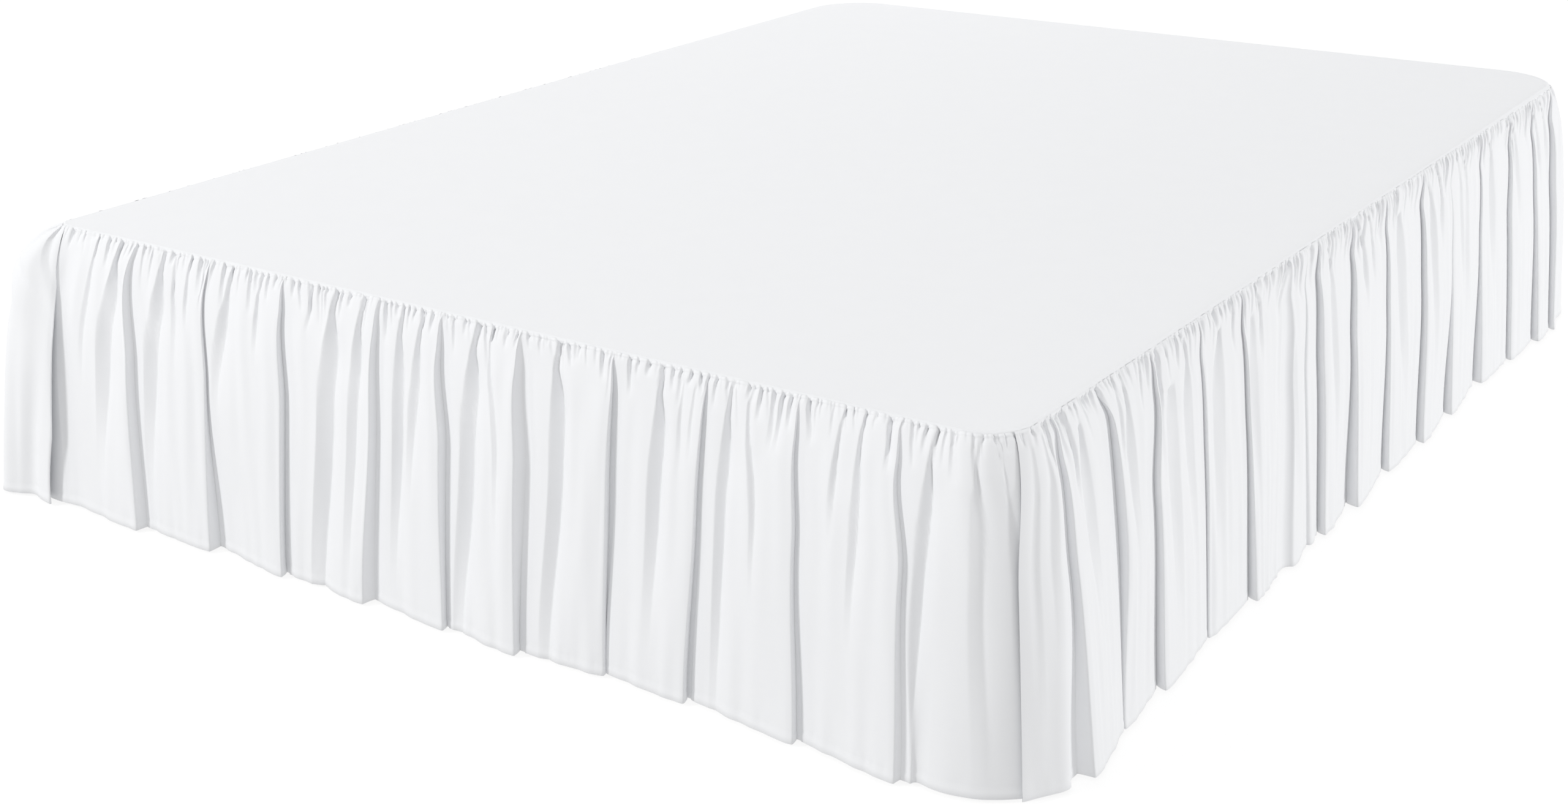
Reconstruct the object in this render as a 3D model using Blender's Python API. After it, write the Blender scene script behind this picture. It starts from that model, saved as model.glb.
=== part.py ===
"""Queen-size gathered bed skirt, worn by a plain bed base.

Units are metres and +Z is up. The origin is on the floor, in the middle of the footprint.
The foot of the bed faces -Y, and the head, where the skirt is open, faces +Y.

A maker cuts four pieces of cloth: one deck panel, which lies on the base, and three ruffles,
for the foot, the right side and the left side. Each ruffle is a strip gathered to the deck's
edge. Its fullness falls in knife folds whose tips turn towards the near foot corner on the
foot and towards the foot end on the two sides.
"""
import math

import bmesh
import bpy
from mathutils import Vector

# ---- driving dimensions ------------------------------------------------------------------
BED_WIDTH = 1.524            # 60 in
BED_LENGTH = 2.032           # 80 in
DECK_HEIGHT = 0.406          # 16 in from the floor to the deck's top face
HEM_HEIGHT = 0.005           # the hem hangs just clear of the floor
CLOTH = 0.0015               # thickness of a cloth solid
GAP = 0.0003                 # between pieces that meet
CLEARANCE = 0.002            # cloth to the edge it falls over
BED_CENTRE = (0.006, 0.014)  # the bed in the footprint, which the corner folds push off centre

RIM_RADIUS = 0.006           # deck turned down to its seam
HEAD_RIM_RADIUS = 0.022      # the same at the head, where the seam rides lower
RIM_SOFTENS = (1.35, 1.90)   # from the foot along both sides, where one rim turns into the other
SEAM_GAP = 0.0007            # from the deck's rim down to the ruffles
LEFT_FOOT_RADIUS = 0.022     # corner radii of the deck's outline
RIGHT_FOOT_RADIUS = 0.060
HEAD_RADIUS = 0.110

BASE_HEIGHT = 0.225          # plain upholstered base block
BASE_EDGE_EXTRA = 0.002      # base edges are rounder than the deck's rim by this much
LEG_RADIUS = 0.030
LEG_INSET = 0.140            # leg centre from the sides of the base
LEG_SIDES = 16

# ---- the ruffles' folds ------------------------------------------------------------------
# One row per knife fold. Columns:
#   seam, waist, hem   where the fold's tip stands along the edge, at three heights
#   reach              how far the tip stands out from the edge at the hem
#   back, lap          where the valley behind the tip lies: inwards, and back under the face
#   dip_at, dip        a soft trough (or swell, if negative) in the face before the tip:
#                      its place from valley to tip, 0 to 1, and its depth
#   fades              how far down the trough goes, as a share of the drop
FOLD = ("seam", "waist", "hem", "reach", "back", "lap", "dip_at", "dip", "fades")

# along +X from the left foot corner
FOOT_FOLDS = (
    (0.177, 0.180, 0.182, 0.074, 0.020, 0.020, 0.67, 0.012, 0.75),
    (0.322, 0.330, 0.317, 0.065, 0.026, 0.020, 0.33, 0.010, 0.60),
    (0.462, 0.478, 0.456, 0.068, 0.026, 0.018, 0.30, 0.006, 0.30),
    (0.631, 0.638, 0.614, 0.067, 0.014, 0.020, 0.68, 0.020, 1.60),
    (0.742, 0.752, 0.752, 0.066, 0.016, 0.016, 0.50, 0.009, 0.70),
    (0.862, 0.876, 0.877, 0.068, 0.013, 0.014, 0.40, 0.013, 0.95),
    (1.019, 1.010, 1.002, 0.048, 0.025, 0.016, 0.46, 0.010, 0.70),
    (1.143, 1.144, 1.128, 0.050, 0.019, 0.014, 0.70, 0.009, 0.60),
    (1.267, 1.278, 1.282, 0.058, 0.016, 0.012, 0.38, 0.008, 0.90),
    (1.397, 1.417, 1.419, 0.067, 0.016, 0.012, 0.50, 0.006, 0.50),
)

# along +Y from the foot corner; the strip is walked from the head to the foot
RIGHT_FOLDS = (
    (1.844, 1.830, 1.830, 0.083, 0.010, 0.020, 0.55, 0.006, 0.60),
    (1.745, 1.735, 1.765, 0.078, 0.018, 0.025, 0.50, 0.006, 0.40),
    (1.630, 1.632, 1.665, 0.065, 0.018, 0.025, 0.75, 0.006, 0.60),
    (1.480, 1.490, 1.525, 0.055, 0.010, 0.020, 0.75, 0.008, 0.70),
    (1.370, 1.350, 1.345, 0.063, 0.016, 0.020, 0.45, 0.006, 1.00),
    (1.208, 1.209, 1.205, 0.064, 0.016, 0.025, 0.55, 0.008, 0.30),
    (1.050, 1.052, 1.072, 0.056, 0.011, 0.022, 0.70, 0.006, 0.80),
    (0.922, 0.923, 0.925, 0.066, 0.017, 0.025, 0.60, 0.006, 1.60),
    (0.812, 0.800, 0.808, 0.062, 0.014, 0.022, 0.50, 0.008, 1.60),
    (0.750, 0.735, 0.745, 0.053, 0.011, 0.012, 0.50, 0.004, 0.40),
    (0.685, 0.670, 0.660, 0.060, 0.021, 0.014, 0.50, 0.000, 1.00),
    (0.553, 0.552, 0.567, 0.063, 0.011, 0.020, 0.50, 0.004, 0.80),
    (0.449, 0.450, 0.440, 0.050, 0.012, 0.012, 0.66, 0.010, 1.60),
    (0.293, 0.299, 0.276, 0.067, 0.014, 0.022, 0.65, 0.005, 0.80),
    (0.195, 0.200, 0.178, 0.067, 0.010, 0.016, 0.50, 0.010, 0.50),
    (0.075, 0.070, 0.058, 0.086, 0.014, 0.012, 0.45, 0.007, 0.60),
)

# the left side hangs like the right one, up to the wrap round its foot corner
LEFT_FOLDS = RIGHT_FOLDS[:-1]

# How the drop is divided into rows, from the seam (0) to the hem (1).
ROWS = (0.0, 0.03, 0.09, 0.20, 0.38, 0.58, 0.79, 1.0)
WAIST = 0.40                 # the height of the table's waist column
SHOULDER = 0.45              # share of the flare that the cloth takes just under the seam
SHOULDER_DROP = 0.07         # share of the drop in which it takes it
SEAM_STEP = 0.008            # tip to valley along the seam, where a fold is only a gather
TURN_SEAM = 0.0015           # half length of the rounded turn at tips and valleys
TURN_HEM = 0.0090
FACE_POINTS = (-0.15, 0.0, 0.22)   # points of a face, as shares of it from its trough
DIP_HALF = 0.30              # half width of a trough, as a share of the face

# ---- the ruffles' ends -------------------------------------------------------------------
# The side ruffles lap over the foot ruffle at both foot corners and stop at the head, just
# past its corners. Rows run in the order the strip is walked. Columns:
#   seam, waist, hem   where the point stands along the edge, at three heights
#   reach              how far it stands out from the edge at the hem
#   shoulder           share of the reach that is taken just under the seam
END = ("seam", "waist", "hem", "reach", "shoulder")

HEAD_END = (
    (2.104, 2.102, 2.100, 0.052, 0.45),
    (2.072, 2.070, 2.068, 0.062, 0.45),
    (2.040, 2.038, 2.036, 0.068, 0.45),
    (2.008, 2.006, 2.004, 0.066, 0.45),
    (1.976, 1.974, 1.972, 0.070, 0.45),
    (1.940, 1.936, 1.932, 0.076, 0.45),
    (1.890, 1.884, 1.880, 0.074, 0.45),
)
NEAR_CORNER_END = (
    (0.058, 0.048, 0.042, 0.076, 0.45),
    (0.046, 0.036, 0.034, 0.066, 0.45),
    (0.032, 0.024, 0.026, 0.064, 0.45),
    (0.019, 0.014, 0.0185, 0.071, 0.45),
)
LEFT_CORNER_END = (
    (0.130, 0.125, 0.120, 0.072, 0.50),
    (0.085, 0.075, 0.060, 0.094, 0.54),
    (0.050, 0.040, 0.030, 0.110, 0.54),
    (0.022, 0.018, 0.014, 0.126, 0.56),
    (0.010, 0.008, 0.0075, 0.136, 0.56),
    (0.001, 0.002, 0.004, 0.118, 0.56),
    (-0.011, -0.006, -0.001, 0.090, 0.53),
    (-0.025, -0.022, -0.008, 0.082, 0.50),
)
# The foot ruffle starts and ends under them: its seam stops short of theirs.
FOOT_START = (
    (0.037, 0.004, 0.006, 0.080, 0.45),
    (0.042, 0.014, 0.012, 0.064, 0.45),
    (0.056, 0.030, 0.024, 0.057, 0.45),
    (0.084, 0.062, 0.056, 0.056, 0.45),
)
FOOT_END = (
    (1.440, 1.455, 1.450, 0.047, 0.45),
    (1.465, 1.480, 1.480, 0.043, 0.45),
    (1.485, 1.505, 1.500, 0.044, 0.45),
    (1.502, 1.520, 1.520, 0.052, 0.45),
    (1.515, 1.532, 1.540, 0.048, 0.45),
)


def material(name, colour, roughness, metallic=0.0):
    mat = bpy.data.materials.new(name)
    mat.use_nodes = True
    shader = mat.node_tree.nodes["Principled BSDF"]
    shader.inputs["Base Color"].default_value = (*colour, 1.0)
    shader.inputs["Roughness"].default_value = roughness
    shader.inputs["Metallic"].default_value = metallic
    return mat


def add_object(name, mesh, mat):
    obj = bpy.data.objects.new(name, mesh)
    bpy.context.scene.collection.objects.link(obj)
    obj.data.materials.append(mat)
    return obj


def smoothstep(value):
    value = min(max(value, 0.0), 1.0)
    return value * value * (3.0 - 2.0 * value)


# ---- the edge that the cloth hangs from -----------------------------------------------------
class Edge:
    """One side of the deck's outline, with half of the rounded corner at each end."""

    def __init__(self, start, direction, outward, length, start_radius, end_radius):
        self.start = Vector(start)
        self.direction = Vector(direction)
        self.outward = Vector(outward)
        self.length = length
        self.start_radius = start_radius
        self.end_radius = end_radius

    def place(self, along, out):
        """The point at a distance along the edge, and out from it.

        Past either end the edge turns round its corner and goes on along the next side.
        """
        past_start = self.start_radius - along
        past_end = along - (self.length - self.end_radius)
        if past_start <= 0 and past_end <= 0:
            return self.start + self.direction * along + self.outward * out
        if past_start > 0:
            past = past_start
            radius = self.start_radius
            pivot = radius
            ahead = -self.direction
        else:
            past = past_end
            radius = self.end_radius
            pivot = self.length - radius
            ahead = self.direction
        centre = self.start + self.direction * pivot - self.outward * radius
        turn = min(past / radius, math.pi / 2)
        spoke = self.outward * math.cos(turn) + ahead * math.sin(turn)
        straight = past - turn * radius
        return centre + spoke * (radius + out) - self.outward * straight


LEFT = BED_CENTRE[0] - BED_WIDTH / 2
RIGHT = BED_CENTRE[0] + BED_WIDTH / 2
FOOT = BED_CENTRE[1] - BED_LENGTH / 2
HEAD = BED_CENTRE[1] + BED_LENGTH / 2

FOOT_EDGE = Edge((LEFT, FOOT), (1, 0), (0, -1), BED_WIDTH, LEFT_FOOT_RADIUS, RIGHT_FOOT_RADIUS)
RIGHT_EDGE = Edge((RIGHT, FOOT), (0, 1), (1, 0), BED_LENGTH, RIGHT_FOOT_RADIUS, HEAD_RADIUS)
HEAD_EDGE = Edge((RIGHT, HEAD), (-1, 0), (0, 1), BED_WIDTH, HEAD_RADIUS, HEAD_RADIUS)
LEFT_EDGE = Edge((LEFT, FOOT), (0, 1), (-1, 0), BED_LENGTH, LEFT_FOOT_RADIUS, HEAD_RADIUS)


def rim_radius(point):
    """The deck's rim at this place of its outline: softer towards the head."""
    first, last = RIM_SOFTENS
    share = (point.y - FOOT - first) / (last - first)
    share = min(max(share, 0.0), 1.0)
    return RIM_RADIUS + (HEAD_RIM_RADIUS - RIM_RADIUS) * share


# ---- a ruffle ------------------------------------------------------------------------------
def flare(drop, shoulder=SHOULDER):
    """Share of the reach at this drop: quick over the shoulder, then a steady slope."""
    return shoulder * (1.0 - math.exp(-drop / SHOULDER_DROP)) + (1.0 - shoulder) * drop


def standing(row, drop):
    """Where a tip or an end point stands along the edge, between seam, waist and hem."""
    if drop < WAIST:
        return row["seam"] + (row["waist"] - row["seam"]) * smoothstep(drop / WAIST)
    blend = smoothstep((drop - WAIST) / (1.0 - WAIST))
    return row["waist"] + (row["hem"] - row["waist"]) * blend


def end_knots(rows, drop):
    return [(standing(row, drop), row["reach"] * flare(drop, row["shoulder"]), False)
            for row in rows]


def ruffle_knots(start, folds, end, walk, drop):
    """The strip's corner points at one height: (along, out, rounded) from start to end.

    walk is +1 where the strip is walked along its edge and -1 where it is walked back.
    """
    shape = flare(drop)
    opened = smoothstep(drop / 0.35)
    depth = 1.0 - math.exp(-drop / 0.10)

    knots = end_knots(start, drop)
    last_place, last_out, _ = knots[-1]
    for fold in folds:
        tip = standing(fold, drop)
        out = fold["reach"] * shape
        fade = 1.0 - smoothstep((drop - 0.6 * fold["fades"]) / (0.4 * fold["fades"]))
        for offset in FACE_POINTS:
            part = fold["dip_at"] + offset
            share = (1.0 - (offset / DIP_HALF) ** 2) ** 2
            trough = fold["dip"] * share * fade * depth * shape ** 0.3
            level = last_out + (out - last_out) * part
            knots.append((last_place + (tip - last_place) * part, level - trough, False))
        knots.append((tip, out, True))
        lap = -SEAM_STEP + (fold["lap"] + SEAM_STEP) * opened
        last_place = tip - walk * lap
        last_out = out - fold["back"] * depth * min(1.0, shape / 0.35)
        knots.append((last_place, last_out, True))
    return knots + end_knots(end, drop)


def rounded_line(points, turns, turn_length):
    """Replaces each turned corner by three points of a soft bend."""
    line = []
    for index, point in enumerate(points):
        if not turns[index]:
            line.append(point)
            continue
        before = points[index - 1] - point
        after = points[index + 1] - point
        length = min(turn_length, 0.42 * before.length, 0.42 * after.length)
        first = point + before.normalized() * length
        last = point + after.normalized() * length
        line += [first, first * 0.25 + point * 0.5 + last * 0.25, last]
    return line


def offset_line(line, distance):
    """The line moved sideways, to its right where distance is positive."""
    moved = []
    for index, point in enumerate(line):
        before = line[max(index - 1, 0)]
        after = line[min(index + 1, len(line) - 1)]
        normals = []
        for a, b in ((before, point), (point, after)):
            step = b - a
            if step.length > 1e-9:
                step.normalize()
                normals.append(Vector((step.y, -step.x)))
        normal = sum(normals, Vector((0.0, 0.0)))
        normal.normalize()
        miter = 1.0 / max(normal.dot(normals[0]), 0.75)
        moved.append(point + normal * distance * miter)
    return moved


def ruffle(name, edge, start, folds, end, walk, mat):
    """A gathered strip: rows of section lines from seam to hem, with both faces and its rims."""
    folds = [dict(zip(FOLD, row)) for row in folds]
    start = [dict(zip(END, row)) for row in start]
    end = [dict(zip(END, row)) for row in end]
    bm = bmesh.new()
    shells = ([], [])
    for drop in ROWS:
        knots = ruffle_knots(start, folds, end, walk, drop)
        points = [edge.place(along, out - CLOTH / 2) for along, out, _ in knots]
        turn_length = TURN_SEAM + (TURN_HEM - TURN_SEAM) * smoothstep(drop / 0.35)
        line = rounded_line(points, [knot[2] for knot in knots], turn_length)
        heights = []
        for point in line:
            seam = DECK_HEIGHT - rim_radius(point) - SEAM_GAP
            heights.append(seam + (HEM_HEIGHT - seam) * drop)
        for shell, side in zip(shells, (CLOTH / 2, -CLOTH / 2)):
            moved = offset_line(line, side)
            shell.append([bm.verts.new((*p, z)) for p, z in zip(moved, heights)])
    outer, inner = shells
    last_row = len(ROWS) - 1
    last_column = len(outer[0]) - 1
    for row in range(last_row):
        for column in range(last_column):
            for shell in shells:
                bm.faces.new((shell[row][column], shell[row + 1][column],
                              shell[row + 1][column + 1], shell[row][column + 1]))
        for column in (0, last_column):
            bm.faces.new((outer[row][column], outer[row + 1][column],
                          inner[row + 1][column], inner[row][column]))
    for row in (0, last_row):
        for column in range(last_column):
            bm.faces.new((outer[row][column], outer[row][column + 1],
                          inner[row][column + 1], inner[row][column]))
    bmesh.ops.triangulate(bm, faces=bm.faces)
    bmesh.ops.recalc_face_normals(bm, faces=bm.faces)
    mesh = bpy.data.meshes.new(name)
    bm.to_mesh(mesh)
    bm.free()
    mesh.shade_smooth()
    mesh.set_sharp_from_angle(angle=math.radians(50))
    return add_object(name, mesh, mat)


# ---- deck and base --------------------------------------------------------------------------
CORNER_STEPS = 3             # points to half a corner


def side_outline(edge, between=()):
    """The outline's points along one edge, from corner middle to corner middle."""
    arc = math.pi / 4
    first = edge.start_radius
    last = edge.length - edge.end_radius
    steps = [step / CORNER_STEPS for step in range(CORNER_STEPS + 1)]
    places = [first * (1 - arc * (1 - step)) for step in steps]
    places += between
    places += [last + edge.end_radius * arc * step for step in steps]
    return [(edge, place) for place in places]


def outline():
    """The bed's outline, counter-clockwise, with each corner's middle point once."""
    foot = side_outline(FOOT_EDGE)
    right = side_outline(RIGHT_EDGE, RIM_SOFTENS)
    head = side_outline(HEAD_EDGE)
    left = list(reversed(side_outline(LEFT_EDGE, RIM_SOFTENS)))
    return foot[:-1] + right[:-1] + head[:-1] + left[:-1]


def quarter_turn(inset, top, extra, steps, downwards):
    """Rings round the rim, from its flat top outwards and down, or the same way back.

    Each ring is (inset, top, extra, angle): extra is added to the rim's radius.
    """
    rings = [(inset, top, extra, math.radians(90 * step / steps)) for step in range(steps + 1)]
    return rings if downwards else list(reversed(rings))


def lofted(name, rings, mat, bottom=None):
    """A closed solid from stacked outlines, with a plain ring at the bottom height if given."""
    bm = bmesh.new()
    loops = []
    if bottom is not None:
        inset = rings[0][0]
        points = [edge.place(place, -inset) for edge, place in outline()]
        loops.append([bm.verts.new((*point, bottom)) for point in points])
    for inset, top, extra, angle in rings:
        loop = []
        for edge, place in outline():
            radius = rim_radius(edge.place(place, 0.0)) + extra
            point = edge.place(place, -inset - radius * (1 - math.sin(angle)))
            loop.append(bm.verts.new((*point, top - radius * (1 - math.cos(angle)))))
        loops.append(loop)
    count = len(loops[0])
    for lower, upper in zip(loops, loops[1:]):
        for i in range(count):
            j = (i + 1) % count
            bm.faces.new((lower[i], lower[j], upper[j], upper[i]))
    bm.faces.new(list(reversed(loops[0])))
    bm.faces.new(loops[-1])
    bmesh.ops.recalc_face_normals(bm, faces=bm.faces)
    mesh = bpy.data.meshes.new(name)
    bm.to_mesh(mesh)
    bm.free()
    mesh.shade_smooth()
    mesh.set_sharp_from_angle(angle=math.radians(40))
    return add_object(name, mesh, mat)


def deck(mat):
    """The deck panel: flat on the base, with its rim turned down to the seam."""
    under = quarter_turn(CLOTH, DECK_HEIGHT - CLOTH, -CLOTH, 3, True)
    over = quarter_turn(0.0, DECK_HEIGHT, 0.0, 3, False)
    return lofted("deck", under + over, mat)


def bed_base(mat):
    """A plain block with softened top edges, clear of the cloth that falls past it."""
    top = DECK_HEIGHT - CLOTH - GAP
    rings = quarter_turn(CLOTH + CLEARANCE, top, BASE_EDGE_EXTRA, 3, False)
    return lofted("bed_base", rings, mat, bottom=top - BASE_HEIGHT)


def leg(name, x, y, mat):
    height = DECK_HEIGHT - CLOTH - GAP - BASE_HEIGHT - GAP
    bm = bmesh.new()
    bmesh.ops.create_cone(bm, cap_ends=True, segments=LEG_SIDES, radius1=LEG_RADIUS,
                          radius2=LEG_RADIUS, depth=height)
    bmesh.ops.translate(bm, verts=bm.verts, vec=(0, 0, height / 2))
    mesh = bpy.data.meshes.new(name)
    bm.to_mesh(mesh)
    bm.free()
    mesh.shade_smooth()
    mesh.set_sharp_from_angle(angle=math.radians(40))
    obj = add_object(name, mesh, mat)
    obj.location = (x, y, 0)
    return obj


def build():
    for obj in list(bpy.data.objects):
        bpy.data.objects.remove(obj, do_unlink=True)

    cotton = material("white_cotton", (0.90, 0.905, 0.915), 0.85)
    ticking = material("base_ticking", (0.78, 0.77, 0.74), 0.90)
    wood = material("leg_wood", (0.10, 0.07, 0.05), 0.50)

    deck(cotton)
    bed_base(ticking)
    offset_x = BED_WIDTH / 2 - LEG_INSET
    offset_y = BED_LENGTH / 2 - LEG_INSET
    number = 0
    for side in (-1, 1):
        for share in (-1, 0, 1):
            number += 1
            leg(f"leg_{number}", BED_CENTRE[0] + side * offset_x,
                BED_CENTRE[1] + share * offset_y, wood)

    ruffle("ruffle_foot", FOOT_EDGE, FOOT_START, FOOT_FOLDS, FOOT_END, 1, cotton)
    ruffle("ruffle_right", RIGHT_EDGE, HEAD_END, RIGHT_FOLDS, NEAR_CORNER_END, -1, cotton)
    ruffle("ruffle_left", LEFT_EDGE, HEAD_END, LEFT_FOLDS, LEFT_CORNER_END, -1, cotton)


build()
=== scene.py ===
import math

import bpy
import numpy as np
from mathutils import Matrix


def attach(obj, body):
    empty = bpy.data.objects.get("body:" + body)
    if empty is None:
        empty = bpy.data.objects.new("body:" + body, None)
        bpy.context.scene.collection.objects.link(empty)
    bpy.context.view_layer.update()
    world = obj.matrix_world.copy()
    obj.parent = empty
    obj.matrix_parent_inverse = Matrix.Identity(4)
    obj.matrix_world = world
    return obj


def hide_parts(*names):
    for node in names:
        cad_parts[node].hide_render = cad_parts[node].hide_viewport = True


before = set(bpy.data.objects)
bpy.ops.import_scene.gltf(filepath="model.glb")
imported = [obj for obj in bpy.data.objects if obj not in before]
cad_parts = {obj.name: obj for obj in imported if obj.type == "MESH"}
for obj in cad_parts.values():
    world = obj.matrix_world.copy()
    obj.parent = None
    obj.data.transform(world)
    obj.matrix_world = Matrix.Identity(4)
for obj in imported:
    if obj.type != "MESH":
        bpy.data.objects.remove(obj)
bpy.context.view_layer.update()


# ---- Camera -----------------------------------------------------------------------------------
# A studio camera on a tripod off the near foot corner, a little above the bed and looking down
# on it. The lens is a short telephoto on a 36 mm frame, and the tripod leans by a degree.
CAMERA_PLACE = (1.71799, -2.77219, 1.21785)
CAMERA_TURN = 34.779         # degrees to the left of straight up the bed
CAMERA_PITCH = 20.975        # degrees below the horizon
CAMERA_LEAN = 0.856          # degrees round the line of sight
CAMERA_LENS = 48.31          # mm
FRAME_WIDTH = 36.0           # mm

bpy.ops.object.select_all(action="DESELECT")
bpy.ops.object.camera_add(location=CAMERA_PLACE)
camera = bpy.context.object
camera.name = "camera"
camera.data.lens = CAMERA_LENS
camera.data.sensor_width = FRAME_WIDTH
camera.matrix_world = (
    Matrix.Translation(CAMERA_PLACE)
    @ Matrix.Rotation(math.radians(CAMERA_TURN), 4, "Z")
    @ Matrix.Rotation(math.radians(90.0 - CAMERA_PITCH), 4, "X")
    @ Matrix.Rotation(math.radians(-CAMERA_LEAN), 4, "Z")
)
bpy.context.scene.camera = camera


# ---- Studio -----------------------------------------------------------------------------------
# A white sweep that glows, so that only faint shadows show on it, inside an even white tent. A
# large soft lamp off the left foot corner rakes the foot ruffle, and one at the right lights the
# side ruffle. Three fainter ones, above, past the head and at the near corner, even out the rest.
WHITE = (1.0, 1.0, 1.0, 1.0)
TENT_STRENGTH = 0.67
LAMPS = (                    # name, towards the lamp (x, y, z), metres away, strength, degrees wide
    ("foot_lamp", (-0.45, -0.74, 0.50), 9.0, 0.31, 9.0),
    ("side_lamp", (0.90, 0.40, 0.12), 9.0, 0.30, 10.0),
    ("top_lamp", (-0.3, -0.2, 1.0), 9.0, 0.050, 40.0),
    ("head_lamp", (-0.55, 0.75, 0.80), 5.0, 0.135, 30.0),
    ("corner_lamp", (0.75, -0.65, 0.25), 9.0, 0.013, 30.0),
)
SWEEP_SIZE = 40.0
SWEEP_GREY = (0.22, 0.22, 0.22, 1.0)
SWEEP_ROUGHNESS = 0.9
SWEEP_GLOW = 0.83

world = bpy.data.worlds.new("tent")
world.use_nodes = True
world.node_tree.nodes["Background"].inputs["Color"].default_value = WHITE
world.node_tree.nodes["Background"].inputs["Strength"].default_value = TENT_STRENGTH
bpy.context.scene.world = world
bpy.context.scene.view_settings.view_transform = "Standard"

for name, towards, away, strength, width in LAMPS:
    level = math.hypot(towards[0], towards[1])
    share = away / math.hypot(level, towards[2])
    bpy.ops.object.light_add(type="AREA", location=[share * part for part in towards])
    lamp = bpy.context.object
    lamp.name = name
    lamp.data.shape = "DISK"
    lamp.data.size = 2.0 * away * math.tan(math.radians(width / 2.0))
    lamp.data.energy = strength * (math.pi * away) ** 2
    lamp.rotation_euler = (math.atan2(level, towards[2]), 0.0,
                           math.atan2(towards[0], -towards[1]))

bpy.ops.mesh.primitive_plane_add(size=SWEEP_SIZE)
floor = bpy.context.object
floor.name = "floor"
bpy.ops.object.mode_set(mode="EDIT")
bpy.ops.mesh.subdivide(number_cuts=3)
bpy.ops.object.mode_set(mode="OBJECT")
sweep = bpy.data.materials.new("lit_sweep")
sweep.use_nodes = True
sweep_shader = sweep.node_tree.nodes["Principled BSDF"]
sweep_shader.inputs["Base Color"].default_value = SWEEP_GREY
sweep_shader.inputs["Roughness"].default_value = SWEEP_ROUGHNESS
sweep_shader.inputs["Specular IOR Level"].default_value = 0.0
sweep_shader.inputs["Emission Color"].default_value = WHITE
sweep_shader.inputs["Emission Strength"].default_value = SWEEP_GLOW
floor.data.materials.append(sweep)
floor.visible_diffuse = False            # its glow doesn't light the cloth


# ---- Deck panel -------------------------------------------------------------------------------
# The flat panel that lies on the base under the mattress: one piece of white plain-weave cotton,
# with its rim turned down all round to the seam that the ruffles hang from. It lies loose, so it
# bows a little, and the gathers at its seam pull short puckers into its rim.
BED_WIDTH = 1.524            # the panel laid flat
BED_LENGTH = 2.032
DECK_HEIGHT = 0.406          # from the floor to its top face
BED_CENTRE = (0.006, 0.014)  # off the footprint's, because of the folds at the corners
LEFT_FOOT_RADIUS = 0.022     # the corners of its outline
RIGHT_FOOT_RADIUS = 0.060
HEAD_RADIUS = 0.110
RIM_RADIUS = 0.0030          # the rim turned down to the seam, at the foot
HEAD_RIM_RADIUS = 0.006      # and at the head
RIM_SOFTENS = (1.35, 1.90)   # from the foot along the sides, where one turns into the other
SEAM_TUCK = 0.003            # how far the rim goes on down behind the ruffles
TUCK_INSET = 0.0012          # and how far in from the outline it lies there
RIM_STEP = 0.004             # between the panel's points along its rim
RIM_ANGLES = (90, 72, 54, 36, 18, 0)
INWARDS = (0.0016, 0.0032, 0.006, 0.013, 0.021, 0.031, 0.045, 0.065, 0.10, 0.16, 0.24, 0.34,
           0.46, 0.60, 0.76, 0.90)       # its rings of points, from the rim (0) to the spine (1)
SPINE_STEP = 0.01            # between the points of the spine
MERGED_WITHIN = 0.0004       # where several rings' points meet on it
BOW = 0.0012                 # how far the panel rises and sinks over its length
BOW_GROWS = 0.25             # from the rim inwards, within which it gets its bow
SEAM_RIDGE = 0.0007          # the seam's turnings under the rim
RIDGE_WIDTH = 0.0012
PUCKER_DEPTH = 0.0008
PUCKER_REACH = 0.030         # from the rim inwards
PUCKER_WIDTH = 0.0035        # along the rim
PUCKER_SPREAD = 0.012        # along the rim, beyond which nothing of one shows
PUCKER_GAPS = (0.008, 0.017)
PUCKERS = 620                # more than the rim has room for
DECK_SEED = 5
COTTON = (0.900, 0.907, 0.922)
CRUMPLE_PAINTED_SHADE = 0.985        # painted shade: how much darker the colour is in the crumple's hollows
DECK_CRUMPLE = 0.0010        # relief of its soft crumple
WEAVE_REPEAT = 0.0009        # two threads, one over and one under
WEAVE_RELIEF = 0.00004
SLUB_RELIEF = 0.00010


def smoothstep(value):
    """A share from 0 to 1 that eases in and out."""
    value = np.clip(value, 0.0, 1.0)
    return value * value * (3.0 - 2.0 * value)


class Edge:
    """One side of the deck's outline, with half of the rounded corner at each end."""

    def __init__(self, start, direction, outward, length, start_radius, end_radius):
        self.start = np.array(start)
        self.direction = np.array(direction, dtype=float)
        self.outward = np.array(outward, dtype=float)
        self.length = length
        self.start_radius = start_radius
        self.end_radius = end_radius

    def place(self, along, out):
        """Points at distances along the edge and out from it, round its corners at both ends."""
        along, out = np.broadcast_arrays(along, out)
        spots = self.start + along[..., None] * self.direction + out[..., None] * self.outward
        ends = (
            (self.start_radius - along, self.start_radius, self.start_radius, -1.0),
            (along - (self.length - self.end_radius), self.end_radius,
             self.length - self.end_radius, 1.0),
        )
        for past, radius, pivot, ahead in ends:
            centre = self.start + self.direction * pivot - self.outward * radius
            turn = np.clip(past / radius, 0.0, math.pi / 2)
            spoke = (np.cos(turn)[..., None] * self.outward
                     + np.sin(turn)[..., None] * self.direction * ahead)
            straight = past - turn * radius
            round_spots = (centre + spoke * (radius + out)[..., None]
                           - straight[..., None] * self.outward)
            spots = np.where((past > 0)[..., None], round_spots, spots)
        return spots


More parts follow.
